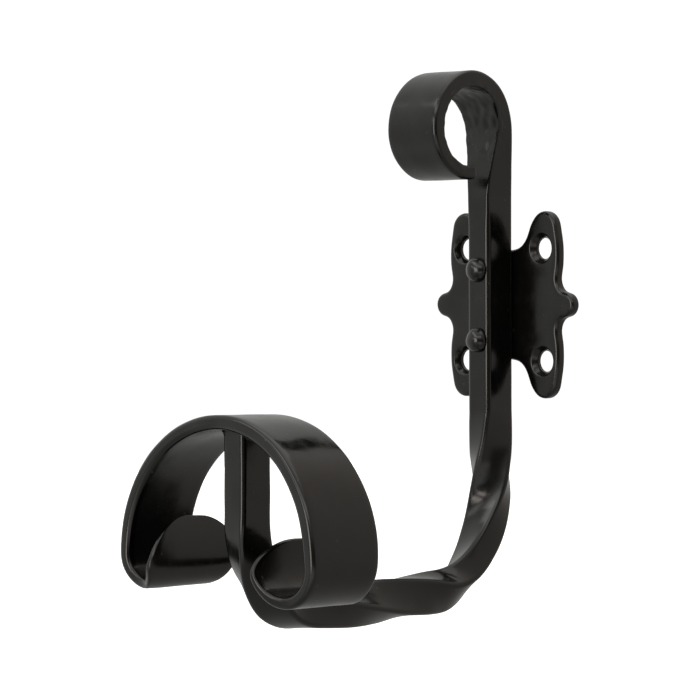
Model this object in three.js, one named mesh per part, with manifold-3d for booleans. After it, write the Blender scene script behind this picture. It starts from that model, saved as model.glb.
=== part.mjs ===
// Wrought-iron wall hook for a bridle: a riveted wall plate, one forged and twisted bar with a
// scroll eye, and a curled arch band welded on the end of the bar.
// Millimetres. +X right, +Y into the wall, +Z up. Origin: centre of the plate's back face.
import * as THREE from 'three';
import { mergeVertices } from 'three/addons/utils/BufferGeometryUtils.js';
import Module from 'manifold-3d';

const wasm = await Module();
wasm.setup();

// Wall plate
const PLATE_THICKNESS = 2.8;
const LOBE_TIP = 27.1;
const LOBE_RADIUS = 3.4;
const WING_TOP = 26.6;
const WING_CORNER_RADIUS = 4.8;
const WING_CORNER_X = 15.6;
const WAIST_HALF_HEIGHT = 15.5;
const SCREW_CENTRES = [[-15.3, 16], [14.8, 16], [-15.3, -16], [15.3, -16]];
const SCREW_HOLE_RADIUS = 3;
const SCREW_SINK_RADIUS = 4.2;
const SCREW_SINK_DEPTH = 1.6;

// Forged bar
const BAR_WIDTH = 8.2;
const BAR_DEPTH = 10.4;
const EDGE_CUT = 0.5;
const UPRIGHT_Y = -PLATE_THICKNESS - BAR_DEPTH / 2;
const UPRIGHT_FOOT_Z = -49.2;
const RISER_Y = -101.6;
const RUN_RISE = 0.053;
const BACK_BEND_RADII = [17.7, 37];
const FRONT_BEND_RADII = [28.7, 18.2];
const TWIST_REACH = 132;
const TWIST_LEAD = 19;
const SCROLL_RADIUS = 14.4;
const SCROLL_END_RADIUS = 12.2;
const SCROLL_END_EXTRA = 0.2;
const SCROLL_SHIFT = -0.8;
const SCROLL_CENTRE_Z = 49.3;
const FLATTEN_START_Z = 31.5;

// Rivets
const RIVET_Z = 10;
const RIVET_SHANK_RADIUS = 1.9;
const RIVET_HOLE_RADIUS = 2.1;
const RIVET_HEAD_RADIUS = 3.5;
const RIVET_HEAD_HEIGHT = 2.8;
const RIVET_TAIL_RADIUS = 3;
const RIVET_TAIL_DEPTH = 1.4;

// Arch band
const BAND_WIDTH = 23;
const BAND_MIDDLE_Y = -101.4;
const CROWN_TOP_Z = -30.7;
const CROWN_TOP_RADIUS = 37.7;
const CROWN_TOP_ANGLE = 0.7;
const CROWN_SIDE_RADIUS = 35.7;
const CROWN_DROP = 0.45;
const CROWN_THICKNESS = 4;
const LEFT_LEG_YAW = 0.02;
const LEFT_CURL_RADII = [8, 5.4];
const RIGHT_CURL_RADIUS = 9.9;
const LIP_FLARE_FRONT = 3.4;
const LIP_FLARE_BACK = 4.6;
const RIGHT_LEG_FLARE_FRONT = 1.4;
const LEFT_TONGUE_LENGTH = 13.8;
const RIGHT_TONGUE_LENGTH = 9;
const TONGUE_LEAN = 2.5;
const TONGUE_TIP_WIDTH = 2.6;

// Weld beads
const WELD_LEG = 2.2;
const WELD_LENGTH = 9.4;
const GAP = 0.3;

const QUARTER = Math.PI / 2;

// A plane path made of tangent arcs. Each piece is [radius, angle], or [0, length] for a
// straight one. turn is +1 for left-hand arcs and -1 for right-hand ones.
function arcPath(start, heading, turn, pieces) {
  const spans = [];
  let x = start[0];
  let y = start[1];
  let angle = heading;
  let from = 0;
  for (const [radius, amount] of pieces) {
    const length = radius === 0 ? amount : radius * amount;
    const span = { from, length, x, y, angle, radius };
    spans.push(span);
    [x, y, angle] = along(span, length, turn);
    from += length;
  }
  const at = (s) => {
    const span = spans.findLast((piece) => s >= piece.from) ?? spans[0];
    return along(span, s - span.from, turn);
  };
  return { length: from, spans, at };
}

function along(span, distance, turn) {
  const { x, y, angle, radius } = span;
  if (radius === 0) {
    return [x + Math.cos(angle) * distance, y + Math.sin(angle) * distance, angle];
  }
  const end = angle + (turn * distance) / radius;
  return [
    x + turn * radius * (Math.sin(end) - Math.sin(angle)),
    y - turn * radius * (Math.cos(end) - Math.cos(angle)),
    end,
  ];
}

// Smooth value through [distance, value] stations, held constant beyond both ends.
function profile(stations) {
  const places = stations.map(([place]) => place);
  const values = stations.map(([, value]) => value);
  const curve = new THREE.CubicInterpolant(places, values, 1);
  return (s) => curve.evaluate(THREE.MathUtils.clamp(s, places[0], places.at(-1)))[0];
}

function evenSteps(from, to, size) {
  const count = Math.max(1, Math.round((to - from) / size));
  return Array.from({ length: count + 1 }, (_, i) => from + ((to - from) * i) / count);
}

// Unit square with its corners cut by a share of its depth and width, for eased edges.
function easedSquare(depthShare, widthShare) {
  const x = 0.5 - depthShare;
  const y = 0.5 - widthShare;
  return new THREE.Shape([
    new THREE.Vector2(0.5, -y),
    new THREE.Vector2(0.5, y),
    new THREE.Vector2(x, 0.5),
    new THREE.Vector2(-x, 0.5),
    new THREE.Vector2(-0.5, y),
    new THREE.Vector2(-0.5, -y),
    new THREE.Vector2(-x, -0.5),
    new THREE.Vector2(x, -0.5),
  ]);
}

// Extrudes a section through the stations, and puts each of its points where place says.
function sweep(section, stations, place) {
  const steps = stations.length - 1;
  const geometry = new THREE.ExtrudeGeometry(section, { depth: steps, steps, bevelEnabled: false });
  const position = geometry.attributes.position;
  for (let i = 0; i < position.count; i += 1) {
    const s = stations[Math.round(position.getZ(i))];
    position.setXYZ(i, ...place(s, position.getX(i), position.getY(i)));
  }
  return weld(geometry);
}

function weld(geometry) {
  geometry.deleteAttribute('normal');
  geometry.deleteAttribute('uv');
  return mergeVertices(geometry, 1e-4);
}

function toSolid(geometry) {
  const { position } = geometry.attributes;
  return new wasm.Manifold(new wasm.Mesh({
    numProp: 3,
    vertProperties: Float32Array.from(position.array),
    triVerts: Uint32Array.from(geometry.index.array),
  }));
}

function cut(geometry, cutters) {
  const solid = cutters.reduce((rest, cutter) => rest.subtract(toSolid(cutter)), toSolid(geometry));
  const mesh = solid.getMesh();
  const result = new THREE.BufferGeometry();
  result.setAttribute('position', new THREE.BufferAttribute(mesh.vertProperties, 3));
  result.setIndex(new THREE.BufferAttribute(mesh.triVerts, 1));
  return result;
}

// A turned piece whose axis runs along Y. The outline is [radius, y] from its back to its front.
function turned(outline, x, z, segments) {
  const points = outline.map(([radius, y]) => new THREE.Vector2(radius, y)).reverse();
  const geometry = new THREE.LatheGeometry(points, segments);
  geometry.translate(x, 0, z);
  return weld(geometry);
}

// Upper right quarter of the plate's outline, from the side lobe to the waist.
function plateQuarter() {
  const lobeX = LOBE_TIP - LOBE_RADIUS;
  const cornerZ = WING_TOP - WING_CORNER_RADIUS;
  const path = new THREE.Path();
  path.absarc(lobeX, 0, LOBE_RADIUS, 0, QUARTER, false);
  path.splineThru([
    new THREE.Vector2(21.8, 4.4),
    new THREE.Vector2(20.6, 7.2),
    new THREE.Vector2(21.3, 11.5),
    new THREE.Vector2(21.3, 17),
    new THREE.Vector2(WING_CORNER_X + WING_CORNER_RADIUS, cornerZ),
  ]);
  path.absarc(WING_CORNER_X, cornerZ, WING_CORNER_RADIUS, 0, QUARTER * 1.4, false);
  path.splineThru([
    new THREE.Vector2(10.6, 23.2),
    new THREE.Vector2(8.4, 18.4),
    new THREE.Vector2(5.2, 16),
    new THREE.Vector2(0, WAIST_HALF_HEIGHT),
  ]);
  return path.getPoints(6);
}

// The outline is the quarter mirrored left to right, then top to bottom.
function plateOutline() {
  const right = plateQuarter();
  const left = right.slice(0, -1).reverse().map((p) => new THREE.Vector2(-p.x, p.y));
  const upper = [...right, ...left];
  const lower = upper.slice(1, -1).reverse().map((p) => new THREE.Vector2(p.x, -p.y));
  return new THREE.Shape([...upper, ...lower]);
}

function screwCutter(x, z) {
  const land = -PLATE_THICKNESS + SCREW_SINK_DEPTH;
  const slope = (SCREW_SINK_RADIUS - SCREW_HOLE_RADIUS) / SCREW_SINK_DEPTH;
  const outline = [
    [0, 1],
    [SCREW_HOLE_RADIUS, 1],
    [SCREW_HOLE_RADIUS, land],
    [SCREW_SINK_RADIUS + slope, -PLATE_THICKNESS - 1],
    [0, -PLATE_THICKNESS - 1],
  ];
  return turned(outline, x, z, 20);
}

function rivetCutter(z) {
  const outline = [
    [0, 1],
    [RIVET_TAIL_RADIUS + GAP, 1],
    [RIVET_TAIL_RADIUS + GAP, 0],
    [RIVET_HOLE_RADIUS, -RIVET_TAIL_DEPTH - GAP],
    [RIVET_HOLE_RADIUS, UPRIGHT_Y - BAR_DEPTH],
    [0, UPRIGHT_Y - BAR_DEPTH],
  ];
  return turned(outline, 0, z, 16);
}

function wallPlate() {
  const blank = new THREE.ExtrudeGeometry(plateOutline(), {
    depth: PLATE_THICKNESS,
    bevelEnabled: false,
  });
  blank.rotateX(QUARTER);
  const cutters = [rivetCutter(RIVET_Z), rivetCutter(-RIVET_Z)];
  for (const [x, z] of SCREW_CENTRES) {
    cutters.push(screwCutter(x, z));
  }
  return cut(weld(blank), cutters);
}

// Underside of the crown at a given distance from the middle of the arch.
function crownUnderside(x) {
  const radius = CROWN_TOP_RADIUS - CROWN_THICKNESS / 2;
  return CROWN_TOP_Z - CROWN_TOP_RADIUS + Math.sqrt(radius * radius - x * x);
}

const RISER_TOP_Z = crownUnderside(BAR_WIDTH / 2) - GAP;

// The bar's centreline in the YZ plane, from the top of the riser to the tip of the scroll.
function barPath() {
  const frontBend = [
    [FRONT_BEND_RADII[0], QUARTER / 2],
    [FRONT_BEND_RADII[1], QUARTER / 2 + RUN_RISE],
  ];
  const backBend = [
    [BACK_BEND_RADII[0], QUARTER / 2 - RUN_RISE],
    [BACK_BEND_RADII[1], QUARTER / 2],
  ];
  const front = arcPath([0, 0], -QUARTER, 1, frontBend);
  const back = arcPath([0, 0], RUN_RISE, 1, backBend);
  const [frontY, frontZ] = front.at(front.length);
  const [backY, backZ] = back.at(back.length);
  const runLength = (UPRIGHT_Y - RISER_Y - frontY - backY) / Math.cos(RUN_RISE);
  const footZ = UPRIGHT_FOOT_Z - backZ - frontZ - runLength * Math.sin(RUN_RISE);
  return arcPath([RISER_Y, RISER_TOP_Z], -QUARTER, 1, [
    [0, RISER_TOP_Z - footZ],
    ...frontBend,
    [0, runLength],
    ...backBend,
    [0, SCROLL_CENTRE_Z - UPRIGHT_FOOT_Z],
    [SCROLL_RADIUS, 2 * QUARTER],
    [SCROLL_END_RADIUS, QUARTER + SCROLL_END_EXTRA],
  ]);
}

// One full right-handed turn, wound between the riser's foot and the upright.
function barTwist(uprightStart) {
  return profile([
    [uprightStart - TWIST_REACH, 360],
    [uprightStart - 127, 357],
    [uprightStart - 121, 347],
    [uprightStart - 114, 328],
    [uprightStart - 107, 306],
    [uprightStart - 99, 285],
    [uprightStart - 91, 271],
    [uprightStart - 80, 248],
    [uprightStart - 68, 218],
    [uprightStart - 56, 188],
    [uprightStart - 46, 165],
    [uprightStart - 37, 138],
    [uprightStart - 28, 116],
    [uprightStart - 19, 99],
    [uprightStart - 10, 80],
    [uprightStart, 48],
    [uprightStart + 10, 16],
    [uprightStart + TWIST_LEAD, 0],
  ].map(([place, degrees]) => [place, THREE.MathUtils.degToRad(degrees)]));
}

function forgedBar() {
  const path = barPath();
  const uprightStart = path.spans[6].from;
  const flattenStart = uprightStart + FLATTEN_START_Z - UPRIGHT_FOOT_Z;
  const twist = barTwist(uprightStart);
  const width = profile([
    [flattenStart - 4, BAR_WIDTH],
    [flattenStart, BAR_WIDTH],
    [flattenStart + 20, 13.6],
    [flattenStart + 42, 18.2],
    [flattenStart + 62, 19.2],
    [path.length, 19.2],
  ]);
  const depth = profile([
    [flattenStart - 4, BAR_DEPTH],
    [flattenStart, BAR_DEPTH],
    [flattenStart + 20, 5.8],
    [flattenStart + 42, 4.4],
    [flattenStart + 62, 4.1],
    [path.length, 3.8],
  ]);
  const shift = profile([
    [flattenStart + 10, 0],
    [flattenStart + 42, SCROLL_SHIFT],
    [path.length, SCROLL_SHIFT],
  ]);
  const place = (s, inward, across) => {
    const [y, z, angle] = path.at(s);
    const turn = s < uprightStart - TWIST_REACH ? 0 : twist(s);
    const n = inward * depth(s);
    const w = across * width(s);
    const side = w * Math.cos(turn) - n * Math.sin(turn) + shift(s);
    const inner = w * Math.sin(turn) + n * Math.cos(turn);
    return [side, y - Math.sin(angle) * inner, z + Math.cos(angle) * inner];
  };
  const twistEnd = uprightStart + TWIST_LEAD;
  const stations = [
    ...evenSteps(0, path.spans[1].from, 12),
    ...evenSteps(path.spans[1].from, twistEnd, 3.2).slice(1),
    ...evenSteps(twistEnd, flattenStart, 40).slice(1),
    ...evenSteps(flattenStart, path.length, 3).slice(1),
  ];
  const bar = sweep(easedSquare(EDGE_CUT / BAR_DEPTH, EDGE_CUT / BAR_WIDTH), stations, place);
  return cut(bar, [rivetCutter(RIVET_Z), rivetCutter(-RIVET_Z)]);
}

// Dome head on the bar's front face, shank through bar and plate, tail flush in the plate's back.
function rivet(z) {
  const front = UPRIGHT_Y - BAR_DEPTH / 2;
  const arcSteps = 6;
  const outline = [
    [0, 0],
    [RIVET_TAIL_RADIUS, 0],
    [RIVET_SHANK_RADIUS, -RIVET_TAIL_DEPTH],
    [RIVET_SHANK_RADIUS, front],
  ];
  for (let i = 0; i < arcSteps; i += 1) {
    const angle = (QUARTER * i) / arcSteps;
    outline.push([RIVET_HEAD_RADIUS * Math.cos(angle), front - RIVET_HEAD_HEIGHT * Math.sin(angle)]);
  }
  outline.push([0, front - RIVET_HEAD_HEIGHT]);
  return turned(outline, 0, z, 16);
}

// The band's centreline in the XZ plane, from the tip of the left lip to that of the right.
function bandPath() {
  const [wide, tight] = LEFT_CURL_RADII;
  const leftCurl = [
    [20, 0.49],
    [tight + 6, 0.55],
    [tight, QUARTER - 0.55],
    [wide, QUARTER],
  ];
  const crown = [
    [CROWN_SIDE_RADIUS, QUARTER - CROWN_TOP_ANGLE],
    [CROWN_TOP_RADIUS, 2 * CROWN_TOP_ANGLE],
    [CROWN_SIDE_RADIUS, QUARTER - CROWN_TOP_ANGLE],
  ];
  const rightCurl = [
    [RIGHT_CURL_RADIUS, 2 * QUARTER],
    [20, 0.295],
  ];
  const leftHalf = [...leftCurl, crown[0], [CROWN_TOP_RADIUS, CROWN_TOP_ANGLE]];
  const back = arcPath([0, CROWN_TOP_Z], 2 * QUARTER, 1, leftHalf.toReversed());
  const [x, z, angle] = back.at(back.length);
  return arcPath([x, z], angle - 2 * QUARTER, -1, [...leftCurl, ...crown, ...rightCurl]);
}

// How far a rounded tongue reaches to one side, at a distance from its tip.
function tongue(distance, length, reach) {
  const share = Math.min(distance / length, 1);
  return TONGUE_TIP_WIDTH / 2 + (reach - TONGUE_TIP_WIDTH / 2) * Math.sqrt(1 - (1 - share) ** 2);
}

// Extra width on one side of the band: full at the tongues, least over the crown. legFlare is
// what the right leg has already spread by where the crown ends.
function lipFlare(amount, legFlare, { leftFoot, crownEnd, rightFoot, end }) {
  return profile([
    [0, amount],
    [LEFT_TONGUE_LENGTH, amount],
    [(LEFT_TONGUE_LENGTH + leftFoot) / 2, amount * 0.55],
    [leftFoot, 0],
    [leftFoot + 10, 0],
    [crownEnd - 36, 0],
    [crownEnd - 6, legFlare],
    [rightFoot, legFlare],
    [(end - RIGHT_TONGUE_LENGTH + rightFoot) / 2, Math.max(legFlare, amount * 0.7)],
    [end - RIGHT_TONGUE_LENGTH, amount],
    [end, amount],
  ]);
}

function archBand() {
  const path = bandPath();
  const end = path.length;
  const leftFoot = path.spans[3].from;
  const crownStart = path.spans[4].from;
  const crownEnd = path.spans[7].from;
  const rightFoot = crownEnd + RIGHT_CURL_RADIUS * QUARTER;
  const thickness = profile([
    [0, 1.3],
    [LEFT_TONGUE_LENGTH, 1.8],
    [leftFoot, 2.8],
    [crownStart, 3.5],
    [(crownStart + crownEnd) / 2, CROWN_THICKNESS],
    [crownEnd, 4.2],
    [rightFoot, 3.2],
    [end - RIGHT_TONGUE_LENGTH, 1.8],
    [end, 1.3],
  ]);
  const places = { leftFoot, crownEnd, rightFoot, end };
  const frontFlare = lipFlare(LIP_FLARE_FRONT, RIGHT_LEG_FLARE_FRONT, places);
  const backFlare = lipFlare(LIP_FLARE_BACK, 0, places);
  const place = (s, inward, across) => {
    const [x, z, angle] = path.at(s);
    const onLeft = s < end / 2;
    const tip = onLeft ? s : end - s;
    const length = onLeft ? LEFT_TONGUE_LENGTH : RIGHT_TONGUE_LENGTH;
    const flare = across < 0 ? frontFlare(s) : backFlare(s);
    const lean = TONGUE_LEAN * Math.max(0, 1 - tip / length);
    const middle = BAND_MIDDLE_Y + lean + LEFT_LEG_YAW * Math.min(x, 0);
    const y = middle + 2 * across * tongue(tip, length, BAND_WIDTH / 2 + flare);
    const n = inward * thickness(s);
    const drop = CROWN_DROP * across * Math.max(0, Math.cos(angle));
    return [x + Math.sin(angle) * n, y, z - Math.cos(angle) * n - drop];
  };
  const tipShares = [0, 0.06, 0.2, 0.42, 0.7, 1];
  const stations = [
    ...tipShares.map((share) => share * LEFT_TONGUE_LENGTH),
    ...evenSteps(LEFT_TONGUE_LENGTH, crownStart, 2.4).slice(1),
    ...evenSteps(crownStart, crownEnd, 4.5).slice(1),
    ...evenSteps(crownEnd, end - RIGHT_TONGUE_LENGTH, 2.4).slice(1, -1),
    ...tipShares.map((share) => end - share * RIGHT_TONGUE_LENGTH).reverse(),
  ];
  const section = easedSquare(EDGE_CUT / CROWN_THICKNESS, EDGE_CUT / BAND_WIDTH);
  return sweep(section, stations, place);
}

// Fillet weld between a side of the riser and the underside of the crown; side is -1 or +1.
function weldBead(side) {
  const inner = BAR_WIDTH / 2;
  const outer = inner + WELD_LEG;
  const section = new THREE.Shape([
    new THREE.Vector2(inner, crownUnderside(inner) - GAP - WELD_LEG),
    new THREE.Vector2(inner + WELD_LEG * 0.45, crownUnderside(inner) - GAP - WELD_LEG * 0.5),
    new THREE.Vector2(outer, crownUnderside(outer) - GAP),
    new THREE.Vector2(inner, crownUnderside(outer) - GAP),
  ]);
  const geometry = new THREE.ExtrudeGeometry(section, { depth: WELD_LENGTH, bevelEnabled: false });
  geometry.rotateX(QUARTER);
  geometry.translate(0, RISER_Y + WELD_LENGTH / 2, 0);
  if (side < 0) {
    geometry.rotateZ(2 * QUARTER);
    geometry.translate(0, 2 * RISER_Y, 0);
  }
  return weld(geometry);
}

function blackPaint(name, color, roughness) {
  return new THREE.MeshStandardMaterial({ name, color, roughness, metalness: 0.1 });
}

function addPart(group, name, geometry, material) {
  geometry.computeVertexNormals();
  const mesh = new THREE.Mesh(geometry, material);
  mesh.name = name;
  group.add(mesh);
}

const hook = new THREE.Group();
hook.name = 'bridle_hook';
addPart(hook, 'wall_plate', wallPlate(), blackPaint('plate_black', 0x1b1a19, 0.42));
addPart(hook, 'forged_bar', forgedBar(), blackPaint('bar_black', 0x1c1b1a, 0.38));
addPart(hook, 'arch_band', archBand(), blackPaint('band_black', 0x1c1b1a, 0.38));
addPart(hook, 'rivet_upper', rivet(RIVET_Z), blackPaint('rivet_upper_black', 0x191818, 0.4));
addPart(hook, 'rivet_lower', rivet(-RIVET_Z), blackPaint('rivet_lower_black', 0x191818, 0.4));
addPart(hook, 'weld_bead_left', weldBead(-1), blackPaint('weld_left_black', 0x191818, 0.5));
addPart(hook, 'weld_bead_right', weldBead(1), blackPaint('weld_right_black', 0x191818, 0.5));

export default hook;
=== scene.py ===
"""Looks for the forged bridle hook: smooth, rounded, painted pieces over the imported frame."""

import math

import bmesh
import bpy
import numpy as np
from mathutils import Matrix, Vector, noise
from mathutils.geometry import delaunay_2d_cdt


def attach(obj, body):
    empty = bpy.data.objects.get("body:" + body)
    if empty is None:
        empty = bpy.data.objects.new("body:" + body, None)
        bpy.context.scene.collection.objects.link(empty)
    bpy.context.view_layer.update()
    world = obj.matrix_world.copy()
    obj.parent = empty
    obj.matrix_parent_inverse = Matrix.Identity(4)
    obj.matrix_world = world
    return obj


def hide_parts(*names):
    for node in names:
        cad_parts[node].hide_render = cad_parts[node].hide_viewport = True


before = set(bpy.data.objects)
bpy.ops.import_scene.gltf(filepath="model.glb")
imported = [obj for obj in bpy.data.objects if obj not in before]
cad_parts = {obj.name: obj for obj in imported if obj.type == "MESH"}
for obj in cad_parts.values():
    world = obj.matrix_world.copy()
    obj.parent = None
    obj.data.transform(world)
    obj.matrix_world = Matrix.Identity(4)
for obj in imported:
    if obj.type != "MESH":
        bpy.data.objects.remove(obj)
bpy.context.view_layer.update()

MM = 0.001
QUARTER = math.pi / 2

# ---------------------------------------------------------------- dimensions, mm and radians
PLATE_THICKNESS = 2.8
LOBE_TIP = 27.1
LOBE_RADIUS = 3.4
WING_TOP = 26.6
WING_CORNER_RADIUS = 4.8
WING_CORNER_X = 15.6
WING_CORNER_TURN = QUARTER * 1.4
WAIST_HALF_HEIGHT = 15.5
SCREW_CENTRES = [(-15.3, 16), (14.8, 16), (-15.3, -16), (15.3, -16)]
SCREW_HOLE_RADIUS = 3
SCREW_SINK_RADIUS = 4.2
SCREW_SINK_DEPTH = 1.6

BAR_WIDTH = 8.2
BAR_DEPTH = 10.4
UPRIGHT_Y = -PLATE_THICKNESS - BAR_DEPTH / 2
UPRIGHT_FOOT_Z = -49.2
RISER_Y = -101.6
RUN_RISE = 0.053
BACK_BEND_RADII = (17.7, 37)
FRONT_BEND_RADII = (28.7, 18.2)
TWIST_REACH = 132
TWIST_LEAD = 19
SCROLL_RADIUS = 14.4
SCROLL_END_RADIUS = 12.2
SCROLL_END_EXTRA = 0.2
SCROLL_SHIFT = -0.8
SCROLL_CENTRE_Z = 49.3
FLATTEN_START_Z = 31.5

RIVET_Z = 10
RIVET_SHANK_RADIUS = 1.9
RIVET_HOLE_RADIUS = 2.1
RIVET_HEAD_RADIUS = 3.5
RIVET_HEAD_HEIGHT = 2.8
RIVET_TAIL_RADIUS = 3
RIVET_TAIL_DEPTH = 1.4

BAND_WIDTH = 23
BAND_MIDDLE_Y = -101.4
CROWN_TOP_Z = -30.7
CROWN_TOP_RADIUS = 37.7
CROWN_TOP_ANGLE = 0.7
CROWN_SIDE_RADIUS = 35.7
CROWN_DROP = 0.45
CROWN_THICKNESS = 4
LEFT_LEG_YAW = 0.02
LEFT_CURL_RADII = (8, 5.4)
LEFT_CURL_EASE_RADIUS = LEFT_CURL_RADII[1] + 6
LEFT_CURL_EASE_ANGLE = 0.55
RIGHT_CURL_RADIUS = 9.9
LIP_FLARE_FRONT = 3.4
LIP_FLARE_BACK = 4.6
RIGHT_LEG_FLARE_FRONT = 1.4
LEFT_TONGUE_LENGTH = 13.8
RIGHT_TONGUE_LENGTH = 9
TONGUE_BEND_RADIUS = 20
LEFT_TONGUE_ANGLE = 0.49
RIGHT_TONGUE_ANGLE = 0.295
TONGUE_LEAN = 2.5
TONGUE_TIP_WIDTH = 2.6

WELD_LEG = 2.2
WELD_LENGTH = 9.4
GAP = 0.3

# ---------------------------------------------------------------- fine surface, mm

RING_SPACING = 0.9
CORNER_STEPS = 5
BAR_SIDE_STEPS = 18
BAND_SIDE_STEPS = 14
ROUND_STEPS = 48
SPLINE_STEPS = 6

# The bar's hidden top runs this far past the gap, into the crown.
BAR_TOP_OVERLAP = 0.8
BAR_END_ROUNDING = 0.9
LEAST_EDGE_RADIUS = 0.3
BAND_TIP_ROUNDING = 0.6
BAND_EDGE_RADIUS = 1.35
BAND_EDGE_SHARE = 0.66
PLATE_FRONT_ROUNDING = 1.1
PLATE_BACK_ROUNDING = 0.35
OUTLINE_SPACING = 0.55
OUTLINE_SMOOTHING = 3
FACE_SPACING = 1.3
FACE_MARGIN = 0.8
BORE_EDGE = 0.3
# How far a weld bead is sunk into the riser's side, the spacing of its rings, and the height and
# rate (radians per mm) of its ripples.
WELD_SINK = 0.3
WELD_RING_SPACING = 0.25
RIPPLE_HEIGHT = 0.12
RIPPLE_RATE = 5.2

# Hammer marks, as (depth, width of a mark).
BAR_MARKS = (0.1, 7.0)
BAND_MARKS = (0.12, 9.0)
PLATE_MARKS = (0.10, 8.0)
RIVET_MARKS = (0.16, 2.6)
# Of the bar's marks, the share that is left where the bar lies flat on the plate.
SEAT_SHARE = 0.25
SEAT_HALF_HEIGHT = 30
SEAT_FRONT_Y = -20
# The scroll's inner face is beaten finely. The marks fade in over these distances inside the
# strip's centreline, and over these heights.
BEATEN_MARKS = (0.16, 1.7)
BEATEN_DISTANCES = (0.8, 1.6)
BEATEN_HEIGHTS = (30, 42)

# ---------------------------------------------------------------- paths and profiles


def along(span, distance, turn):
    x, y, angle, radius = span["x"], span["y"], span["angle"], span["radius"]
    if radius == 0:
        return x + math.cos(angle) * distance, y + math.sin(angle) * distance, angle
    end = angle + turn * distance / radius
    return (
        x + turn * radius * (math.sin(end) - math.sin(angle)),
        y - turn * radius * (math.cos(end) - math.cos(angle)),
        end,
    )


class ArcPath:
    """A plane path of tangent arcs. Each piece is (radius, angle), or (0, length) if straight."""

    def __init__(self, start, heading, turn, pieces):
        self.turn = turn
        self.spans = []
        x, y, angle, start_at = start[0], start[1], heading, 0.0
        for radius, amount in pieces:
            length = amount if radius == 0 else radius * amount
            span = {"at": start_at, "x": x, "y": y, "angle": angle, "radius": radius}
            self.spans.append(span)
            x, y, angle = along(span, length, turn)
            start_at += length
        self.length = start_at

    def __call__(self, s):
        span = self.spans[0]
        for piece in self.spans:
            if s >= piece["at"]:
                span = piece
        return along(span, s - span["at"], self.turn)


def profile(stations):
    """Smooth value through (distance, value) stations, held constant beyond both ends."""
    places = [float(place) for place, _ in stations]
    values = [float(value) for _, value in stations]
    last = len(places) - 1

    def value_at(s):
        s = min(max(s, places[0]), places[-1])
        i = 1
        while i < last and s >= places[i]:
            i += 1
        t0, t1 = places[i - 1], places[i]
        before = (i - 2, places[i - 2]) if i >= 2 else (i, t1)
        after = (i + 1, places[i + 1]) if i < last else (i - 1, t0)
        half = (t1 - t0) / 2
        wp, wn = half / (t0 - before[1]), half / (after[1] - t1)
        p = (s - t0) / (t1 - t0)
        pp, ppp = p * p, p * p * p
        sp = -wp * ppp + 2 * wp * pp - wp * p
        s0 = (1 + wp) * ppp + (-1.5 - 2 * wp) * pp + (-0.5 + wp) * p + 1
        s1 = (-1 - wn) * ppp + (1.5 + wn) * pp + 0.5 * p
        sn = wn * ppp - wn * pp
        return sp * values[before[0]] + s0 * values[i - 1] + s1 * values[i] + sn * values[after[0]]

    return value_at


def even_steps(start, end, size):
    count = max(1, round((end - start) / size))
    return [start + (end - start) * i / count for i in range(count + 1)]


def smooth_step(low, high, value):
    t = min(max((value - low) / (high - low), 0), 1)
    return t * t * (3 - 2 * t)


# ---------------------------------------------------------------- mesh helpers


def new_piece(name, bm, replaced, material):
    """Turns a bmesh in millimetres into a smooth piece that rides on the body."""
    bmesh.ops.remove_doubles(bm, verts=bm.verts, dist=1e-4)
    bmesh.ops.recalc_face_normals(bm, faces=bm.faces)
    bmesh.ops.scale(bm, vec=(MM, MM, MM), verts=bm.verts)
    mesh = bpy.data.meshes.new(name)
    bm.to_mesh(mesh)
    bm.free()
    mesh.shade_smooth()
    mesh.materials.append(material)
    piece = bpy.data.objects.new(name, mesh)
    bpy.context.scene.collection.objects.link(piece)
    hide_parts(replaced)
    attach(piece, "root")
    return piece


def rounded_section(half_width, half_depth, inner_radius, outer_radius, side_steps):
    """Points (across, inward) round a rectangle whose inner and outer edges are rounded."""
    corners = [
        (1, 1, inner_radius),
        (-1, 1, inner_radius),
        (-1, -1, outer_radius),
        (1, -1, outer_radius),
    ]
    arcs = []
    for k, (sx, sy, radius) in enumerate(corners):
        cx, cy = sx * (half_width - radius), sy * (half_depth - radius)
        angles = [(k + i / CORNER_STEPS) * QUARTER for i in range(CORNER_STEPS + 1)]
        arcs.append([(cx + radius * math.cos(a), cy + radius * math.sin(a)) for a in angles])
    points = []
    for k in range(4):
        points += arcs[k]
        start, end = arcs[k][-1], arcs[(k + 1) % 4][0]
        for i in range(1, side_steps):
            t = i / side_steps
            points.append((start[0] + (end[0] - start[0]) * t, start[1] + (end[1] - start[1]) * t))
    return points


def tube(bm, rings):
    """Skins rings of points and closes both ends with a fan round their middles."""
    loops = [[bm.verts.new(p) for p in ring] for ring in rings]
    count = len(loops[0])
    for a, b in zip(loops, loops[1:]):
        for i in range(count):
            j = (i + 1) % count
            bm.faces.new((a[i], a[j], b[j], b[i]))
    for loop in (loops[0], loops[-1]):
        middle = sum((v.co for v in loop), Vector()) / count
        centre = bm.verts.new(middle)
        for i in range(count):
            bm.faces.new((loop[i], loop[(i + 1) % count], centre))


def end_inset(distance, radius):
    """How far a rounded end draws its section in, at a distance from the end."""
    if distance >= radius:
        return 0.0
    return radius * (1 - math.sqrt(1 - (1 - distance / radius) ** 2))


def undulate(bm, depth_at, size, seed):
    """Moves every point along its normal by smooth noise, as hammering leaves a surface."""
    bm.normal_update()
    offset = Vector((seed * 17.3, seed * 5.1, seed * 9.7))
    moves = []
    for v in bm.verts:
        value = noise.noise(v.co / size + offset)
        moves.append(v.normal * (depth_at(v.co) * value))
    for v, move in zip(bm.verts, moves):
        v.co += move


# ---------------------------------------------------------------- materials


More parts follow.
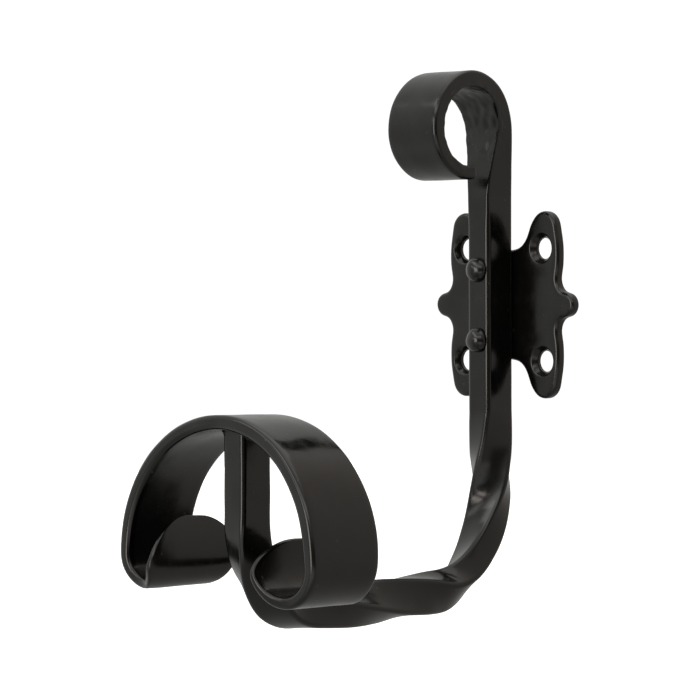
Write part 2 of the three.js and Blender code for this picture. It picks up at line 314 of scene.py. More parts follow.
class Nodes:
    """Small helper that adds shader nodes and links them in one call."""

    def __init__(self, tree):
        self.tree = tree

    def add(self, kind, inputs=None, **settings):
        node = self.tree.nodes.new(kind)
        for key, value in settings.items():
            setattr(node, key, value)
        for key, value in (inputs or {}).items():
            if isinstance(value, bpy.types.NodeSocket):
                self.tree.links.new(value, node.inputs[key])
            else:
                node.inputs[key].default_value = value
        return node

    def noise(self, vector, scale, detail, roughness):
        inputs = {"Vector": vector, "Scale": scale, "Detail": detail, "Roughness": roughness}
        return self.add("ShaderNodeTexNoise", inputs).outputs["Fac"]

    def ramp(self, value, low, high, to_low=0.0, to_high=1.0):
        node = self.add("ShaderNodeMapRange", {"Value": value}, clamp=True)
        node.interpolation_type = "SMOOTHSTEP"
        node.inputs["From Min"].default_value = low
        node.inputs["From Max"].default_value = high
        node.inputs["To Min"].default_value = to_low
        node.inputs["To Max"].default_value = to_high
        return node.outputs["Result"]

    def math(self, operation, a, b=0.0):
        return self.add("ShaderNodeMath", {0: a, 1: b}, operation=operation).outputs["Value"]

    def wrap(self, value, low, high):
        inputs = {0: value, 1: low, 2: high}
        return self.add("ShaderNodeMath", inputs, operation="WRAP").outputs["Value"]

    def mix(self, factor, a, b):
        node = self.add("ShaderNodeMix", data_type="RGBA")
        self.tree.links.new(factor, node.inputs["Factor"])
        for socket, value in ((node.inputs[6], a), (node.inputs[7], b)):
            if isinstance(value, bpy.types.NodeSocket):
                self.tree.links.new(value, socket)
            else:
                socket.default_value = (*value, 1.0)
        return node.outputs[2]

    def bump(self, height, strength, distance, normal=None):
        inputs = {"Height": height, "Strength": strength, "Distance": distance}
        if normal is not None:
            inputs["Normal"] = normal
        return self.add("ShaderNodeBump", inputs).outputs["Normal"]


# Colours of the paint and of what shows through or lies on it.
PAINT_DEEP = (0.0016, 0.0015, 0.0013)
PAINT_THIN = (0.0034, 0.0030, 0.0026)
GRIME = (0.0075, 0.0062, 0.0052)
RUBBED_EDGE = (0.034, 0.027, 0.022)
DUST = (0.03, 0.027, 0.024)
# Roughness where the paint is smoothest and where it is dullest.
ENAMEL_ROUGHNESS = (0.15, 0.23)
WELD_ROUGHNESS = (0.32, 0.45)
# Heights of the bumps, in metres.
DENT_HEIGHT = 0.0012
PEEL_HEIGHT = 0.00012
GRAIN_HEIGHT = 0.00003
SPECK_HEIGHT = 0.00006


def black_enamel(name, wear, peel, hammer, gloss=ENAMEL_ROUGHNESS):
    """Black paint on forged iron: soft hammering, orange peel, dust specks and rubbed edges."""
    material = bpy.data.materials.new(name)
    material.use_nodes = True
    tree = material.node_tree
    tree.nodes.clear()
    n = Nodes(tree)
    place = n.add("ShaderNodeTexCoord").outputs["Object"]
    edge = n.add("ShaderNodeNewGeometry").outputs["Pointiness"]

    cloud = n.noise(place, 45.0, 4.0, 0.55)
    grime = n.noise(place, 260.0, 5.0, 0.6)
    fine = n.noise(place, 1400.0, 2.0, 0.5)
    speck = n.add("ShaderNodeTexVoronoi", {"Vector": place, "Scale": 210.0}).outputs["Distance"]
    specks = n.ramp(speck, 0.05, 0.085, 1.0, 0.0)

    paint = n.mix(n.ramp(cloud, 0.3, 0.7), PAINT_DEEP, PAINT_THIN)
    paint = n.mix(n.ramp(grime, 0.56, 0.78, 0.0, 0.5), paint, GRIME)
    broken = n.math("ADD", n.ramp(grime, 0.3, 0.7, -0.012, 0.012), edge)
    rubbed = n.ramp(broken, 0.535, 0.60, 0.0, wear)
    paint = n.mix(rubbed, paint, RUBBED_EDGE)
    paint = n.mix(n.math("MULTIPLY", specks, 0.6), paint, DUST)

    rough = n.ramp(cloud, 0.25, 0.75, *gloss)
    rough = n.math("ADD", rough, n.ramp(grime, 0.35, 0.75, -0.03, 0.06))
    rough = n.math("ADD", rough, n.math("MULTIPLY", rubbed, 0.12))

    dents = n.noise(place, 95.0, 2.0, 0.4)
    normal = n.bump(dents, hammer, DENT_HEIGHT)
    orange_peel = n.noise(place, 620.0, 2.0, 0.45)
    normal = n.bump(orange_peel, peel, PEEL_HEIGHT, normal)
    normal = n.bump(fine, peel * 0.6, GRAIN_HEIGHT, normal)
    normal = n.bump(specks, 0.5, SPECK_HEIGHT, normal)

    shader = n.add(
        "ShaderNodeBsdfPrincipled",
        {"Base Color": paint, "Roughness": rough, "Normal": normal, "IOR": 1.5},
    )
    output = n.add("ShaderNodeOutputMaterial")
    tree.links.new(shader.outputs["BSDF"], output.inputs["Surface"])
    return material


PLATE_PAINT = black_enamel("enamel_on_plate", wear=0.5, peel=0.12, hammer=0.05)
BAR_PAINT = black_enamel("enamel_on_bar", wear=0.55, peel=0.10, hammer=0.05)
BAND_PAINT = black_enamel("enamel_on_band", wear=0.5, peel=0.08, hammer=0.04)
RIVET_PAINT = black_enamel("enamel_on_rivet", wear=0.6, peel=0.15, hammer=0.08)
WELD_PAINT = black_enamel("enamel_on_weld", wear=0.4, peel=0.5, hammer=0.3, gloss=WELD_ROUGHNESS)

# ---------------------------------------------------------------- forged bar


def crown_underside(x):
    """Height of the crown's lower face at x."""
    radius = CROWN_TOP_RADIUS - CROWN_THICKNESS / 2
    return CROWN_TOP_Z - CROWN_TOP_RADIUS + math.sqrt(radius * radius - x * x)


RISER_TOP_Z = crown_underside(BAR_WIDTH / 2) - GAP


def bar_path():
    """The bar's centreline in the YZ plane, from the top of the riser to the tip of the scroll."""
    front = [(FRONT_BEND_RADII[0], QUARTER / 2), (FRONT_BEND_RADII[1], QUARTER / 2 + RUN_RISE)]
    back = [(BACK_BEND_RADII[0], QUARTER / 2 - RUN_RISE), (BACK_BEND_RADII[1], QUARTER / 2)]
    front_path = ArcPath((0, 0), -QUARTER, 1, front)
    back_path = ArcPath((0, 0), RUN_RISE, 1, back)
    front_y, front_z, _ = front_path(front_path.length)
    back_y, back_z, _ = back_path(back_path.length)
    run_length = (UPRIGHT_Y - RISER_Y - front_y - back_y) / math.cos(RUN_RISE)
    foot_z = UPRIGHT_FOOT_Z - back_z - front_z - run_length * math.sin(RUN_RISE)
    pieces = [
        (0, RISER_TOP_Z - foot_z),
        *front,
        (0, run_length),
        *back,
        (0, SCROLL_CENTRE_Z - UPRIGHT_FOOT_Z),
        (SCROLL_RADIUS, 2 * QUARTER),
        (SCROLL_END_RADIUS, QUARTER + SCROLL_END_EXTRA),
    ]
    return ArcPath((RISER_Y, RISER_TOP_Z), -QUARTER, 1, pieces)


def bar_twist(upright_start):
    """One full right-handed turn, wound between the riser's foot and the upright."""
    return profile([
        (upright_start + place, math.radians(degrees))
        for place, degrees in [
            (-TWIST_REACH, 360), (-127, 357), (-121, 347), (-114, 328), (-107, 306),
            (-99, 285), (-91, 271), (-80, 248), (-68, 218), (-56, 188), (-46, 165),
            (-37, 138), (-28, 116), (-19, 99), (-10, 80), (0, 48), (10, 16),
            (TWIST_LEAD, 0),
        ]
    ])


def bar_hammering(p):
    """Depth of the bar's hammer marks at a point: fainter where it lies on the plate."""
    on_seat = abs(p.z) < SEAT_HALF_HEIGHT and p.y > SEAT_FRONT_Y
    return BAR_MARKS[0] * (SEAT_SHARE if on_seat else 1.0)


def scroll_beating(p):
    """Depth of the beating at a point: only on the scroll's inner face."""
    reach = math.hypot(p.y - UPRIGHT_Y + SCROLL_RADIUS, p.z - SCROLL_CENTRE_Z)
    near_edge, far_edge = (SCROLL_RADIUS - distance for distance in BEATEN_DISTANCES)
    inside = smooth_step(near_edge, far_edge, reach)
    return BEATEN_MARKS[0] * inside * smooth_step(*BEATEN_HEIGHTS, p.z)


def forged_bar():
    path = bar_path()
    upright_start = path.spans[6]["at"]
    flatten_start = upright_start + FLATTEN_START_Z - UPRIGHT_FOOT_Z
    twist = bar_twist(upright_start)
    width = profile([
        (flatten_start - 4, BAR_WIDTH), (flatten_start, BAR_WIDTH), (flatten_start + 20, 13.6),
        (flatten_start + 42, 18.2), (flatten_start + 62, 19.2), (path.length, 19.2),
    ])
    depth = profile([
        (flatten_start - 4, BAR_DEPTH), (flatten_start, BAR_DEPTH), (flatten_start + 20, 5.8),
        (flatten_start + 42, 4.4), (flatten_start + 62, 4.1), (path.length, 3.8),
    ])
    shift = profile([
        (flatten_start + 10, 0), (flatten_start + 42, SCROLL_SHIFT), (path.length, SCROLL_SHIFT),
    ])
    inner_edge = profile([
        (flatten_start - 10, 1.2), (flatten_start + 4, 0.5), (flatten_start + 60, 0.5),
        (path.length, 0.8),
    ])
    outer_edge = profile([
        (flatten_start - 10, 1.2), (flatten_start + 20, 1.0), (path.length, 1.1),
    ])
    end_steps = 6
    stations = even_steps(-GAP - BAR_TOP_OVERLAP, path.length - BAR_END_ROUNDING, RING_SPACING)
    for i in range(1, end_steps + 1):
        left = 1 - math.sin(i * QUARTER / end_steps)
        stations.append(path.length - BAR_END_ROUNDING * left)
    rings = []
    for s in stations:
        y, z, angle = path(s)
        turn = 0.0 if s < upright_start - TWIST_REACH else twist(s)
        draw = end_inset(path.length - s, BAR_END_ROUNDING)
        half_width, half_depth = width(s) / 2 - draw, depth(s) / 2 - draw
        edge_loss = draw * 0.3
        r_in = max(inner_edge(s) - edge_loss, LEAST_EDGE_RADIUS)
        r_out = max(outer_edge(s) - edge_loss, LEAST_EDGE_RADIUS)
        ring = []
        for w, n in rounded_section(half_width, half_depth, r_in, r_out, BAR_SIDE_STEPS):
            side = w * math.cos(turn) - n * math.sin(turn) + shift(s)
            inner = w * math.sin(turn) + n * math.cos(turn)
            ring.append((side, y - math.sin(angle) * inner, z + math.cos(angle) * inner))
        rings.append(ring)
    bm = bmesh.new()
    tube(bm, rings)
    undulate(bm, bar_hammering, BAR_MARKS[1], seed=1)
    undulate(bm, scroll_beating, BEATEN_MARKS[1], seed=4)
    return new_piece("hook_bar", bm, "forged_bar", BAR_PAINT)


# ---------------------------------------------------------------- arch band


def band_path():
    """The band's centreline in the XZ plane, from the tip of the left lip to that of the right."""
    wide, tight = LEFT_CURL_RADII
    left_curl = [
        (TONGUE_BEND_RADIUS, LEFT_TONGUE_ANGLE),
        (LEFT_CURL_EASE_RADIUS, LEFT_CURL_EASE_ANGLE),
        (tight, QUARTER - LEFT_CURL_EASE_ANGLE),
        (wide, QUARTER),
    ]
    crown = [
        (CROWN_SIDE_RADIUS, QUARTER - CROWN_TOP_ANGLE),
        (CROWN_TOP_RADIUS, 2 * CROWN_TOP_ANGLE),
        (CROWN_SIDE_RADIUS, QUARTER - CROWN_TOP_ANGLE),
    ]
    right_curl = [(RIGHT_CURL_RADIUS, 2 * QUARTER), (TONGUE_BEND_RADIUS, RIGHT_TONGUE_ANGLE)]
    left_half = [*left_curl, crown[0], (CROWN_TOP_RADIUS, CROWN_TOP_ANGLE)]
    back = ArcPath((0, CROWN_TOP_Z), 2 * QUARTER, 1, left_half[::-1])
    x, z, angle = back(back.length)
    return ArcPath((x, z), angle - 2 * QUARTER, -1, [*left_curl, *crown, *right_curl])


def lip_flare(amount, leg_flare, left_foot, crown_end, right_foot, end):
    """Extra width on one side of the band: full at the tongues, least over the crown.

    leg_flare is what the right leg has already spread by where the crown ends.
    """
    return profile([
        (0, amount),
        (LEFT_TONGUE_LENGTH, amount),
        ((LEFT_TONGUE_LENGTH + left_foot) / 2, amount * 0.55),
        (left_foot, 0),
        (left_foot + 10, 0),
        (crown_end - 36, 0),
        (crown_end - 6, leg_flare),
        (right_foot, leg_flare),
        ((end - RIGHT_TONGUE_LENGTH + right_foot) / 2, max(leg_flare, amount * 0.7)),
        (end - RIGHT_TONGUE_LENGTH, amount),
        (end, amount),
    ])


def tongue(distance, length, reach):
    """How far a rounded tongue reaches to one side, at a distance from its tip."""
    share = min(distance / length, 1)
    tip = TONGUE_TIP_WIDTH / 2
    return tip + (reach - tip) * math.sqrt(1 - (1 - share) ** 2)


def arch_band():
    path = band_path()
    end = path.length
    left_foot, crown_start, crown_end = (path.spans[i]["at"] for i in (3, 4, 7))
    right_foot = crown_end + RIGHT_CURL_RADIUS * QUARTER
    thickness = profile([
        (0, 1.3), (LEFT_TONGUE_LENGTH, 1.8), (left_foot, 2.8), (crown_start, 3.5),
        ((crown_start + crown_end) / 2, CROWN_THICKNESS), (crown_end, 4.2), (right_foot, 3.2),
        (end - RIGHT_TONGUE_LENGTH, 1.8), (end, 1.3),
    ])
    places = (left_foot, crown_end, right_foot, end)
    front_flare = lip_flare(LIP_FLARE_FRONT, RIGHT_LEG_FLARE_FRONT, *places)
    back_flare = lip_flare(LIP_FLARE_BACK, 0, *places)

    def ring(s):
        x, z, angle = path(s)
        on_left = s < end / 2
        tip = s if on_left else end - s
        length = LEFT_TONGUE_LENGTH if on_left else RIGHT_TONGUE_LENGTH
        lean = TONGUE_LEAN * max(0, 1 - tip / length)
        middle = BAND_MIDDLE_Y + lean + LEFT_LEG_YAW * min(x, 0)
        front = tongue(tip, length, BAND_WIDTH / 2 + front_flare(s))
        back = tongue(tip, length, BAND_WIDTH / 2 + back_flare(s))
        draw = end_inset(tip, BAND_TIP_ROUNDING)
        half_thickness = thickness(s) / 2 - draw * 0.7
        half_width = (front + back) / 2 - draw
        y_middle = middle + (back - front) / 2
        radius = min(BAND_EDGE_RADIUS, half_thickness * BAND_EDGE_SHARE)
        points = []
        for w, n in rounded_section(half_width, half_thickness, radius, radius, BAND_SIDE_STEPS):
            drop = CROWN_DROP * (w / (2 * half_width)) * max(0, math.cos(angle))
            points.append((x + math.sin(angle) * n, y_middle + w, z - math.cos(angle) * n - drop))
        return points

    tips = [0.0, 0.04, 0.12, 0.25, 0.42, 0.6, 0.9, 1.3, 1.8, 2.4, 3.1]
    stations = [
        *tips,
        *even_steps(tips[-1], end - tips[-1], RING_SPACING)[1:-1],
        *[end - tip for tip in reversed(tips)],
    ]
    bm = bmesh.new()
    tube(bm, [ring(s) for s in stations])
    undulate(bm, lambda p: BAND_MARKS[0], BAND_MARKS[1], seed=2)
    return new_piece("arch_band_curled", bm, "arch_band", BAND_PAINT)


# ---------------------------------------------------------------- wall plate


def spline_points(points):
    """Points on a smooth curve through the given ones, without the last."""
    result = []
    last = len(points) - 1
    for i in range(last):
        p0, p1 = points[max(i - 1, 0)], points[i]
        p2, p3 = points[i + 1], points[min(i + 2, last)]
        for k in range(SPLINE_STEPS):
            t = k / SPLINE_STEPS
            xy = []
            for c in range(2):
                v0, v1 = (p2[c] - p0[c]) / 2, (p3[c] - p1[c]) / 2
                cubic = (2 * p1[c] - 2 * p2[c] + v0 + v1) * t**3
                square = (-3 * p1[c] + 3 * p2[c] - 2 * v0 - v1) * t**2
                xy.append(cubic + square + v0 * t + p1[c])
            result.append(tuple(xy))
    return result


def arc_points(cx, cy, radius, start, end, steps):
    """Points on an arc, without the last."""
    angles = [start + (end - start) * i / steps for i in range(steps)]
    return [(cx + radius * math.cos(a), cy + radius * math.sin(a)) for a in angles]


def plate_outline():
    """The plate's edge as one counter-clockwise loop: a quarter drawn once and mirrored."""
    lobe_x = LOBE_TIP - LOBE_RADIUS
    corner_z = WING_TOP - WING_CORNER_RADIUS
    corner_out = (
        WING_CORNER_X + WING_CORNER_RADIUS * math.cos(WING_CORNER_TURN),
        corner_z + WING_CORNER_RADIUS * math.sin(WING_CORNER_TURN),
    )
    quarter = arc_points(lobe_x, 0, LOBE_RADIUS, 0, QUARTER, 9)
    quarter += spline_points([
        (lobe_x, LOBE_RADIUS), (21.8, 4.4), (20.6, 7.2), (21.3, 11.5), (21.3, 17),
        (WING_CORNER_X + WING_CORNER_RADIUS, corner_z),
    ])
    quarter += arc_points(WING_CORNER_X, corner_z, WING_CORNER_RADIUS, 0, WING_CORNER_TURN, 14)
    quarter += spline_points([
        corner_out, (10.6, 23.2), (8.4, 18.4), (5.2, 16), (0, WAIST_HALF_HEIGHT),
    ])
    quarter.append((0.0, WAIST_HALF_HEIGHT))
    left = [(-x, z) for x, z in quarter[:-1][::-1]]
    upper = quarter + left
    lower = [(x, -z) for x, z in upper[1:-1][::-1]]
    return even_loop(smooth_loop(np.array(upper + lower), OUTLINE_SMOOTHING), OUTLINE_SPACING)


def smooth_loop(loop, rounds):
    """Eases each point of a closed loop towards its neighbours."""
    for _ in range(rounds):
        loop = loop * 0.5 + (np.roll(loop, 1, 0) + np.roll(loop, -1, 0)) * 0.25
    return loop


def even_loop(loop, spacing):
    """Points at an even spacing along a closed loop."""
    closed = np.vstack([loop, loop[:1]])
    lengths = np.hypot(*np.diff(closed, axis=0).T)
    total = np.concatenate([[0], np.cumsum(lengths)])
    marks = np.linspace(0, total[-1], round(total[-1] / spacing), endpoint=False)
    return np.column_stack([np.interp(marks, total, closed[:, c]) for c in range(2)])


def inset_loop(loop, amount):
    """Moves a counter-clockwise loop inwards."""
    tangent = np.roll(loop, -1, 0) - np.roll(loop, 1, 0)
    tangent /= np.hypot(*tangent.T)[:, None]
    return loop + np.column_stack([-tangent[:, 1], tangent[:, 0]]) * amount


def inside(loop, points):
    """Which points lie inside a closed loop."""
    x, z = points[:, 0, None], points[:, 1, None]
    ax, az = loop[:, 0], loop[:, 1]
    bx, bz = np.roll(ax, -1), np.roll(az, -1)
    crosses = (az > z) != (bz > z)
    safe = np.where(bz == az, 1, bz - az)
    hits = crosses & (x < (bx - ax) * (z - az) / safe + ax)
    return hits.sum(1) % 2 == 1


def near(loop, points, distance):
    """Which points lie within a distance of a loop's points."""
    gaps = np.hypot(points[:, 0, None] - loop[:, 0], points[:, 1, None] - loop[:, 1])
    return gaps.min(1) < distance


def plate_face(bm, outer, holes, y):
    """Fills the face between the outer ring and the hole rings with even triangles."""
    reach = 28
    grid = np.arange(-reach, reach + 0.1, FACE_SPACING)
    cells = np.array([
        (x + (FACE_SPACING / 2 if k % 2 else 0), z) for k, z in enumerate(grid) for x in grid
    ])
    keep = inside(outer, cells) & ~near(outer, cells, FACE_MARGIN)
    for hole in holes:
        keep &= ~inside(hole, cells) & ~near(hole, cells, FACE_MARGIN)
    points = [Vector(p) for p in outer]
    edges = [(i, (i + 1) % len(outer)) for i in range(len(outer))]
    for hole in holes:
        start = len(points)
        points += [Vector(p) for p in hole]
        edges += [(start + i, start + (i + 1) % len(hole)) for i in range(len(hole))]
    points += [Vector(p) for p in cells[keep]]
    found, _, faces, _, _, _ = delaunay_2d_cdt(points, edges, [], 1, 1e-5)
    flat = np.array([(v.x, v.y) for v in found])
    middles = np.array([flat[list(face)].mean(0) for face in faces])
    wanted = inside(outer, middles)
    for hole in holes:
        wanted &= ~inside(hole, middles)
    verts = [bm.verts.new((x, y, z)) for x, z in flat]
    for face, keep_it in zip(faces, wanted):
        if keep_it:
            bm.faces.new([verts[i] for i in face])


def wall(bm, rings):
    """Skins a stack of equal loops, each given as (loop, y)."""
    stacks = [[bm.verts.new((x, y, z)) for x, z in loop] for loop, y in rings]
    for a, b in zip(stacks, stacks[1:]):
        for i in range(len(a)):
            j = (i + 1) % len(a)
            bm.faces.new((a[i], a[j], b[j], b[i]))


def circle(x, z, radius):
    angles = np.arange(ROUND_STEPS) * 2 * math.pi / ROUND_STEPS
    return np.column_stack([x + radius * np.cos(angles), z + radius * np.sin(angles)])


def screw_bore():
    """A screw hole's wall as (radius, y) from the back: eased edge, bore, cone, rounded rim."""
    front = -PLATE_THICKNESS
    land = front + SCREW_SINK_DEPTH
    slope = (SCREW_SINK_RADIUS - SCREW_HOLE_RADIUS) / SCREW_SINK_DEPTH
    cone = []
    for share in (0.25, 0.5, 0.72):
        drop = SCREW_SINK_DEPTH * share
        cone.append((SCREW_HOLE_RADIUS + slope * drop, land - drop))
    return [
        (SCREW_HOLE_RADIUS + BORE_EDGE, 0),
        (SCREW_HOLE_RADIUS + 0.09, -0.09),
        (SCREW_HOLE_RADIUS, -BORE_EDGE),
        (SCREW_HOLE_RADIUS, land * 0.6),
        (SCREW_HOLE_RADIUS, land + 0.1),
        (SCREW_HOLE_RADIUS + 0.1, land - 0.12),
        *cone,
        (SCREW_SINK_RADIUS - 0.12, front + 0.22),
        (SCREW_SINK_RADIUS + 0.02, front + 0.09),
        (SCREW_SINK_RADIUS + 0.2, front + 0.02),
        (SCREW_SINK_RADIUS + 0.42, front),
    ]


def rivet_bore():
    """A rivet hole's wall as (radius, y) from the back: flared for the tail, then straight."""
    return [
        (RIVET_TAIL_RADIUS + GAP * 0.4, 0),
        (RIVET_HOLE_RADIUS, -RIVET_TAIL_DEPTH),
        (RIVET_HOLE_RADIUS, -PLATE_THICKNESS),
    ]


def rounded_edge():
    """The plate's edge as (inset, y) from the back: a small rounding, then a larger one."""
    back_steps, front_steps = 5, 8
    edge = []
    for i in range(back_steps + 1):
        a = i * QUARTER / back_steps
        inset = PLATE_BACK_ROUNDING * (1 - math.sin(a))
        edge.append((inset, -PLATE_BACK_ROUNDING * (1 - math.cos(a))))
    for i in range(front_steps + 1):
        a = i * QUARTER / front_steps
        inset = PLATE_FRONT_ROUNDING * (1 - math.cos(a))
        edge.append((inset, -PLATE_THICKNESS + PLATE_FRONT_ROUNDING * (1 - math.sin(a))))
    return edge


def plate_hammering(p):
    """Depth of the plate's hammer marks at a point: none at the back or under the bar."""
    return PLATE_MARKS[0] if p.y < -1.5 and abs(p.x) > 5 else 0.0


def wall_plate():
    outline = plate_outline()
    rings = [(inset_loop(outline, inset), y) for inset, y in rounded_edge()]
    bores = [(x, z, screw_bore()) for x, z in SCREW_CENTRES]
    bores += [(0, z, rivet_bore()) for z in (RIVET_Z, -RIVET_Z)]
    bm = bmesh.new()
    wall(bm, rings)
    back_holes, front_holes = [], []
    for x, z, bore in bores:
        circles = [(circle(x, z, radius), y) for radius, y in bore]
        wall(bm, circles)
        back_holes.append(circles[0][0])
        front_holes.append(circles[-1][0])
    plate_face(bm, rings[0][0], back_holes, rings[0][1])
    plate_face(bm, rings[-1][0], front_holes, -PLATE_THICKNESS)
    bmesh.ops.remove_doubles(bm, verts=bm.verts, dist=1e-4)
    bmesh.ops.recalc_face_normals(bm, faces=bm.faces)
    undulate(bm, plate_hammering, PLATE_MARKS[1], seed=3)
    return new_piece("wall_plate_cut", bm, "wall_plate", PLATE_PAINT)


# ---------------------------------------------------------------- rivets and welds


def rivet(name, replaced, z, seed):
    """Hammered dome on the bar's front, shank through bar and plate, tail flush at the back."""
    front = UPRIGHT_Y - BAR_DEPTH / 2
    lip = 0.45
    dome_steps = 14
    outline = [
        (RIVET_TAIL_RADIUS / 2, 0),
        (RIVET_TAIL_RADIUS, 0),
        (RIVET_SHANK_RADIUS, -RIVET_TAIL_DEPTH),
        (RIVET_SHANK_RADIUS, front + 0.4),
        (RIVET_HEAD_RADIUS - 0.35, front + 0.2),
        (RIVET_HEAD_RADIUS - 0.05, front - 0.1),
        (RIVET_HEAD_RADIUS, front - lip),
    ]
    for i in range(1, dome_steps):
        a = QUARTER * i / dome_steps
        rise = lip + (RIVET_HEAD_HEIGHT - lip) * math.sin(a) ** 1.05
        outline.append((RIVET_HEAD_RADIUS * math.cos(a) ** 0.92, front - rise))
    angles = [2 * math.pi * i / ROUND_STEPS for i in range(ROUND_STEPS)]
    rings = [
        [(radius * math.cos(a), y, z + radius * math.sin(a)) for a in angles]
        for radius, y in outline
    ]
    bm = bmesh.new()
    tube(bm, rings)
    undulate(bm, lambda p: RIVET_MARKS[0] if p.y < front - 0.4 else 0.0, RIVET_MARKS[1], seed)
    return new_piece(name, bm, replaced, RIVET_PAINT)


def weld_bead(name, replaced, side, phase):
    """Rippled fillet between one side of the riser and the underside of the crown."""
    inner = BAR_WIDTH / 2 - WELD_SINK
    top = crown_underside(BAR_WIDTH / 2 + WELD_LEG) + 0.1
    face_steps = 9
    rings = []
    for y in even_steps(-WELD_LENGTH / 2, WELD_LENGTH / 2, WELD_RING_SPACING):
        end = max(0.0, 1 - (abs(2 * y / WELD_LENGTH)) ** 6)
        ripple = RIPPLE_HEIGHT * math.sin(y * RIPPLE_RATE + phase)
        leg = (WELD_LEG + ripple) * (0.25 + 0.75 * math.sqrt(end))
        height = leg * 1.15
        ring = [(inner, top), (inner, top - height)]
        for k in range(1, face_steps):
            t = k / face_steps
            bulge = 0.22 * leg * math.sin(math.pi * t)
            x = inner + WELD_SINK + (leg - WELD_SINK) * t - bulge * 0.4
            ring.append((x, top - height * (1 - t) ** 1.25 + bulge * 0.1))
        ring.append((inner + leg, top))
        rings.append([(side * x, RISER_Y + y, z) for x, z in ring])
    bm = bmesh.new()
    tube(bm, rings)
    return new_piece(name, bm, replaced, WELD_PAINT)


forged_bar()
arch_band()
wall_plate()
rivet("rivet_dome_upper", "rivet_upper", RIVET_Z, 4)
rivet("rivet_dome_lower", "rivet_lower", -RIVET_Z, 5)
weld_bead("weld_fillet_left", "weld_bead_left", -1, 0.4)
weld_bead("weld_fillet_right", "weld_bead_right", 1, 2.1)

# ---------------------------------------------------------------- camera

# The view's angles in radians, then its distance and offsets and its lens in millimetres.
VIEW_TURN = 0.8063824813
VIEW_DROP = 0.0176040697
VIEW_ROLL = -0.0032674476
VIEW_RANGE = 1004.0536
VIEW_SIDE = 45.7494
VIEW_HEIGHT = 12.9805
LENS = 180.107
FILM_WIDTH = 36


def make_camera():
    ahead = Vector((
        -math.sin(VIEW_TURN) * math.cos(VIEW_DROP),
        math.cos(VIEW_TURN) * math.cos(VIEW_DROP),
        -math.sin(VIEW_DROP),
    ))
    level = Vector((math.cos(VIEW_TURN), math.sin(VIEW_TURN), 0))
    rise = level.cross(ahead)
    right = level * math.cos(VIEW_ROLL) + rise * math.sin(VIEW_ROLL)
    up = rise * math.cos(VIEW_ROLL) - level * math.sin(VIEW_ROLL)
    place = -(ahead * VIEW_RANGE + right * VIEW_SIDE + up * VIEW_HEIGHT) * MM
    data = bpy.data.cameras.new("camera")
    data.lens = LENS
    data.sensor_width = FILM_WIDTH
    data.clip_start = 0.05
    data.clip_end = 50
    camera = bpy.data.objects.new("camera", data)
    axes = Matrix((right, up, -ahead)).transposed().to_4x4()
    camera.matrix_world = Matrix.Translation(place) @ axes
    bpy.context.scene.collection.objects.link(camera)
    bpy.context.scene.camera = camera


make_camera()

# ---------------------------------------------------------------- studio

# Places and sizes in metres, power in watts.
FLOOR_Z = -0.45
FLOOR_HALF_SIZE = 6
TOP_LIGHT_PLACE = Vector((0.1, 0.05, 1.1))
TOP_LIGHT_AIM = Vector((0, -0.05, -0.02))
TOP_LIGHT_SIZE = (1.3, 1.0)
TOP_LIGHT_POWER = 2.0

# The tent's brightness from its bottom to its top, between two heights of the direction.
TENT_LOW = 0.40
TENT_HIGH = 0.60
TENT_HEIGHTS = (-0.7, 0.8)
TENT_TINT = (1.0, 0.995, 0.955)
WARM_TINT = (1.0, 0.92, 0.84)
BACKDROP_BRIGHTNESS = 1.05

# Patches of the tent as (azimuth, elevation, half width, half height, soft edge) in degrees.
# Azimuth 0 is straight in front of the plate and 90 is to its right.
OPENING = (38, 2, 52, 7, 14)
OPENING_DEPTH = 0.72
WARM_SIDE = (120, 15, 45, 50, 35)
WARM_POST = (-3, 3, 10, 11, 6)
CEILING = (0, 78, 179, 14, 24)
HIGH_STRIP_LEFT = (-30, 41, 22, 4, 6)
HIGH_STRIP_RIGHT = (18, 33, 40, 4, 6)
LOW_STRIP = (25, -22, 40, 8, 9)
LEFT_GLOW = (-80, 2, 22, 26, 24)
SMALL_STRIP = (-24, 14, 12, 2, 4)

# Each bright patch, with what it adds to the tent's brightness.
PANELS = [
    (WARM_POST, 4.4),
    (CEILING, 0.42),
    (HIGH_STRIP_LEFT, 1.7),
    (HIGH_STRIP_RIGHT, 1.6),
    (LOW_STRIP, 0.5),
    (LEFT_GLOW, 0.25),
    (SMALL_STRIP, 1.6),
]


def make_floor():
    bm = bmesh.new()
    bmesh.ops.create_grid(bm, x_segments=24, y_segments=24, size=FLOOR_HALF_SIZE)
    for v in bm.verts:
        v.co.z = FLOOR_Z
    mesh = bpy.data.meshes.new("floor")
    bm.to_mesh(mesh)
    bm.free()
    material = bpy.data.materials.new("floor_pale")
    material.use_nodes = True
    shader = material.node_tree.nodes["Principled BSDF"]
    shader.inputs["Base Color"].default_value = (0.93, 0.93, 0.925, 1)
    shader.inputs["Roughness"].default_value = 0.9
    shader.inputs["Specular IOR Level"].default_value = 0.1
    shader.inputs["Emission Color"].default_value = (1, 1, 1, 1)
    shader.inputs["Emission Strength"].default_value = 0.6
    mesh.materials.append(material)
    floor = bpy.data.objects.new("floor", mesh)
    floor.visible_diffuse = False
    floor.visible_glossy = False
    bpy.context.scene.collection.objects.link(floor)


def make_top_light():
    """A soft box over the hook that the camera doesn't see."""
    data = bpy.data.lights.new("soft_box_top", "AREA")
    data.shape = "RECTANGLE"
    data.size, data.size_y = TOP_LIGHT_SIZE
    data.energy = TOP_LIGHT_POWER
    lamp = bpy.data.objects.new("soft_box_top", data)
    lamp.location = TOP_LIGHT_PLACE
    lamp.rotation_euler = (TOP_LIGHT_AIM - TOP_LIGHT_PLACE).to_track_quat("-Z", "Y").to_euler()
    lamp.visible_camera = False
    bpy.context.scene.collection.objects.link(lamp)


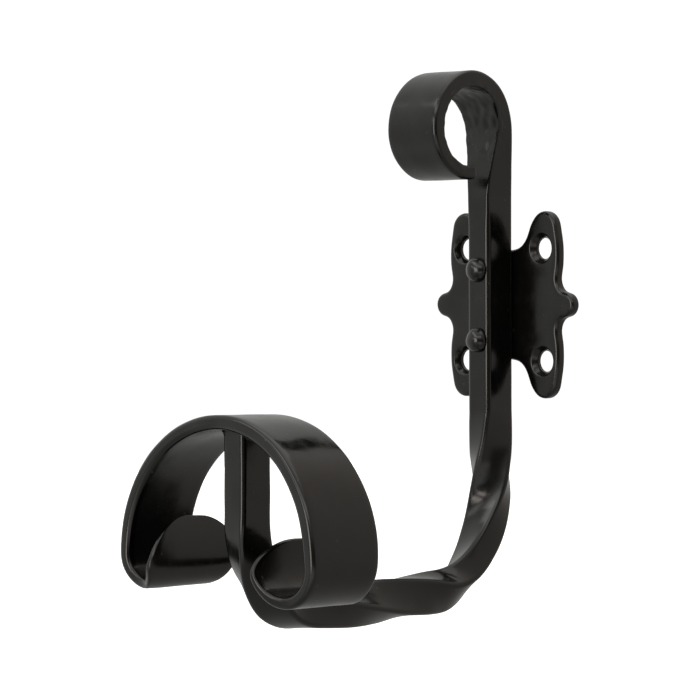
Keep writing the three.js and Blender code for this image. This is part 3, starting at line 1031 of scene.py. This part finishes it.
def make_world():
    """A pale tent with a dim opening on the camera's side, soft panels and a white backdrop."""
    world = bpy.data.worlds.new("studio")
    bpy.context.scene.world = world
    world.use_nodes = True
    tree = world.node_tree
    tree.nodes.clear()
    n = Nodes(tree)
    direction = n.add("ShaderNodeTexCoord").outputs["Generated"]
    parts = n.add("ShaderNodeSeparateXYZ", {0: direction}).outputs
    azimuth = n.math("ARCTAN2", parts["X"], n.math("MULTIPLY", parts["Y"], -1.0))
    elevation = n.math("ARCSINE", parts["Z"])

    def panel(turn, rise, half_turn, half_rise, soft):
        """1 inside a patch of the sky given in degrees, fading to 0 over its soft edge."""
        from_middle = n.math("SUBTRACT", azimuth, math.radians(turn))
        across = n.math("ABSOLUTE", n.wrap(from_middle, -math.pi, math.pi))
        above = n.math("ABSOLUTE", n.math("SUBTRACT", elevation, math.radians(rise)))
        edges = []
        for offset, half in ((across, half_turn), (above, half_rise)):
            inner, outer = math.radians(half), math.radians(half + soft)
            edges.append(n.ramp(offset, inner, outer, 1.0, 0.0))
        return n.math("MULTIPLY", *edges)

    level = n.ramp(parts["Z"], *TENT_HEIGHTS, TENT_LOW, TENT_HIGH)
    dimming = n.math("MULTIPLY", panel(*OPENING), OPENING_DEPTH)
    level = n.math("MULTIPLY", level, n.math("SUBTRACT", 1.0, dimming))
    for patch, strength in PANELS:
        level = n.math("ADD", level, n.math("MULTIPLY", panel(*patch), strength))
    warm = n.math("ADD", panel(*WARM_SIDE), panel(*WARM_POST))
    colour = n.mix(warm, TENT_TINT, WARM_TINT)
    glow = n.add("ShaderNodeBackground", {"Color": colour, "Strength": level})
    backdrop = {"Color": (1, 1, 1, 1), "Strength": BACKDROP_BRIGHTNESS}
    white = n.add("ShaderNodeBackground", backdrop)
    seen = n.add("ShaderNodeLightPath").outputs["Is Camera Ray"]
    mixed = n.add("ShaderNodeMixShader", {0: seen})
    tree.links.new(glow.outputs["Background"], mixed.inputs[1])
    tree.links.new(white.outputs["Background"], mixed.inputs[2])
    output = n.add("ShaderNodeOutputWorld")
    tree.links.new(mixed.outputs["Shader"], output.inputs["Surface"])


make_floor()
make_world()
make_top_light()
bpy.context.scene.view_settings.view_transform = "Standard"
